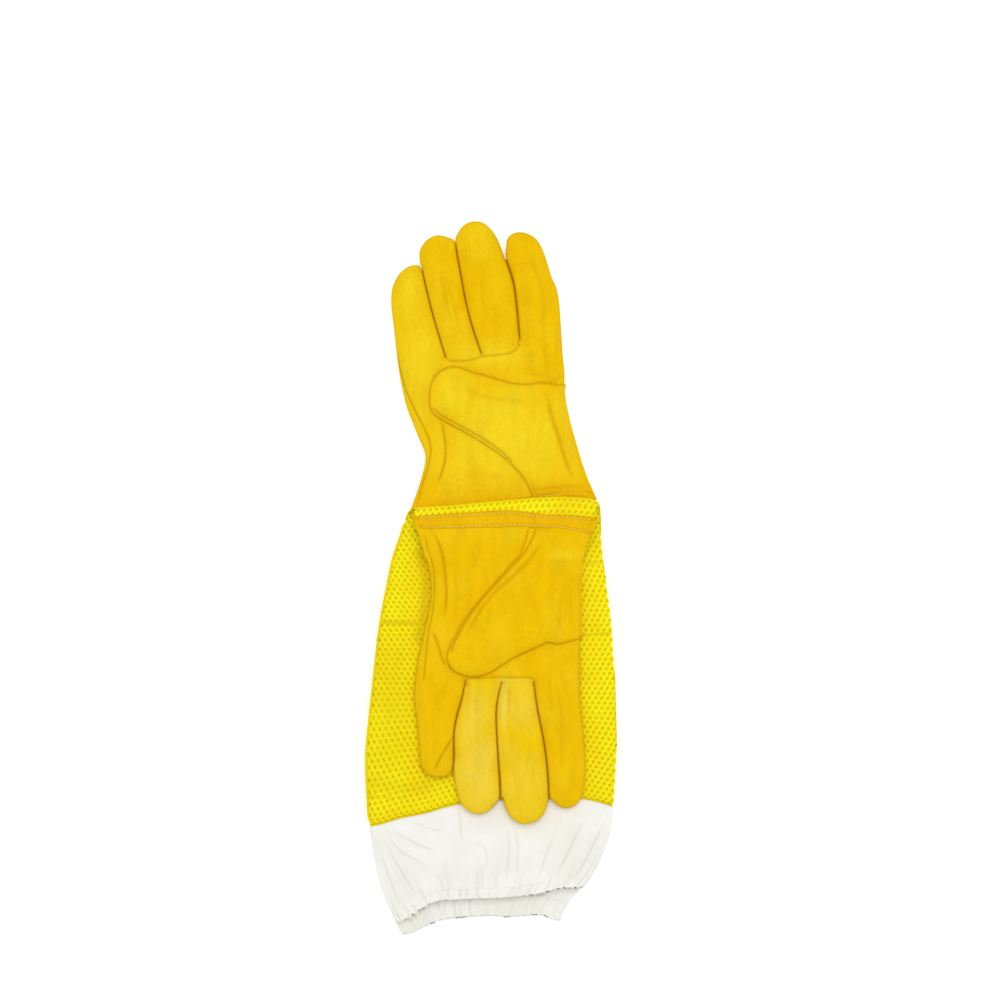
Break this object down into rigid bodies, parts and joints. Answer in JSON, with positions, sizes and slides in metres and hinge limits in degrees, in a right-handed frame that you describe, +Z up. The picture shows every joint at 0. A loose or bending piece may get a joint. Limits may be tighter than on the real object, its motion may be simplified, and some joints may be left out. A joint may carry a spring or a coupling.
{
  "type": "beekeeping gloves",
  "caption": "Pair of long beekeeping gloves: leather hands with folded wing thumbs, ventilated mesh sleeves and gathered elastic cotton cuffs, left glove folded on the right.",
  "frame": {"origin": "middle of the pair's outline, on the surface that the right glove lies on", "axes": "+Y along the gloves towards the right glove's fingertips, +Z up out of the palms, +X towards both thumb roots"},
  "size_m": [0.1812, 0.5126, 0.0382],
  "materials": {
    "gold_leather": "soft nubuck goatskin, golden yellow",
    "pale_suede": "suede, paler lemon gold",
    "band_leather": "nubuck goatskin, warmer gold",
    "yellow_mesh": "ventilated spacer mesh, bright yellow",
    "white_cotton": "plain-weave cotton canvas, off-white",
    "elastic": "braided elastic, white"
  },
  "bodies": {
    "right_glove": {"right_back_panel": "gold_leather", "right_palm_panel": "gold_leather", "right_hem_band": "band_leather", "right_mesh_sleeve": "yellow_mesh", "right_canvas_cuff": "white_cotton", "right_hem_casing": "white_cotton", "right_cuff_elastic": "elastic"},
    "right_little_finger": {"right_little_front": "gold_leather", "right_little_back": "gold_leather"},
    "right_ring_finger": {"right_ring_front": "gold_leather", "right_ring_back": "gold_leather"},
    "right_middle_finger": {"right_middle_front": "gold_leather", "right_middle_back": "gold_leather"},
    "right_index_finger": {"right_index_front": "gold_leather", "right_index_back": "gold_leather"},
    "right_thumb": {"right_thumb_front": "gold_leather", "right_thumb_back": "gold_leather"},
    "left_sleeve": {"left_mesh_sleeve": "yellow_mesh", "left_canvas_cuff": "white_cotton", "left_hem_casing": "white_cotton", "left_cuff_elastic": "elastic", "left_sleeve_fold": "yellow_mesh"},
    "left_hand": {"left_hem_band": "band_leather", "left_palm_panel": "gold_leather", "left_back_panel": "gold_leather"},
    "left_little_finger": {"left_little_front": "gold_leather", "left_little_back": "gold_leather"},
    "left_ring_finger": {"left_ring_front": "pale_suede", "left_ring_back": "gold_leather"},
    "left_middle_finger": {"left_middle_front": "pale_suede", "left_middle_back": "gold_leather"},
    "left_index_finger": {"left_index_front": "gold_leather", "left_index_back": "gold_leather"},
    "left_thumb": {"left_thumb_front": "gold_leather", "left_thumb_back": "gold_leather"}
  },
  "joints": [
    {"name": "right_little_curl", "type": "hinge", "parent": "right_glove", "child": "right_little_finger", "pos_m": [-0.0503, 0.15843, 0.0115], "axis": [1, 0, 0], "range_deg": [0, 90]},
    {"name": "right_ring_curl", "type": "hinge", "parent": "right_glove", "child": "right_ring_finger", "pos_m": [-0.02, 0.15843, 0.0115], "axis": [1, 0, 0], "range_deg": [0, 90]},
    {"name": "right_middle_curl", "type": "hinge", "parent": "right_glove", "child": "right_middle_finger", "pos_m": [0.0063, 0.15843, 0.0115], "axis": [1, 0, 0], "range_deg": [0, 90]},
    {"name": "right_index_curl", "type": "hinge", "parent": "right_glove", "child": "right_index_finger", "pos_m": [0.036, 0.15843, 0.0115], "axis": [1, 0, 0], "range_deg": [0, 90]},
    {"name": "right_thumb_open", "type": "hinge", "parent": "right_glove", "child": "right_thumb", "pos_m": [0.0644, 0.10143, 0.01165], "axis": [-0.2437, 0.9699, 0], "range_deg": [0, 150]},
    {"name": "left_glove_lift", "type": "slide", "parent": "right_glove", "child": "left_sleeve", "axis": [0, 0, 1], "range_m": [0, 0.08]},
    {"name": "left_glove_unfold", "type": "hinge", "parent": "left_sleeve", "child": "left_hand", "pos_m": [0.0093, 0.05498, 0.01895], "axis": [-0.999, -0.0449, 0], "range_deg": [0, 135], "deforming": ["left_sleeve_fold"]},
    {"name": "left_little_curl", "type": "hinge", "parent": "left_hand", "child": "left_little_finger", "pos_m": [-0.0371, -0.07257, 0.0291], "axis": [-1, 0, 0], "range_deg": [0, 90]},
    {"name": "left_ring_curl", "type": "hinge", "parent": "left_hand", "child": "left_ring_finger", "pos_m": [-0.0061, -0.07257, 0.0291], "axis": [-1, 0, 0], "range_deg": [0, 90]},
    {"name": "left_middle_curl", "type": "hinge", "parent": "left_hand", "child": "left_middle_finger", "pos_m": [0.0196, -0.07257, 0.0291], "axis": [-1, 0, 0], "range_deg": [0, 90]},
    {"name": "left_index_curl", "type": "hinge", "parent": "left_hand", "child": "left_index_finger", "pos_m": [0.0481, -0.07257, 0.0291], "axis": [-1, 0, 0], "range_deg": [0, 90]},
    {"name": "left_thumb_open", "type": "hinge", "parent": "left_hand", "child": "left_thumb", "pos_m": [0.0647, -0.00457, 0.02925], "axis": [0, 1, 0], "range_deg": [0, 150]}
  ]
}
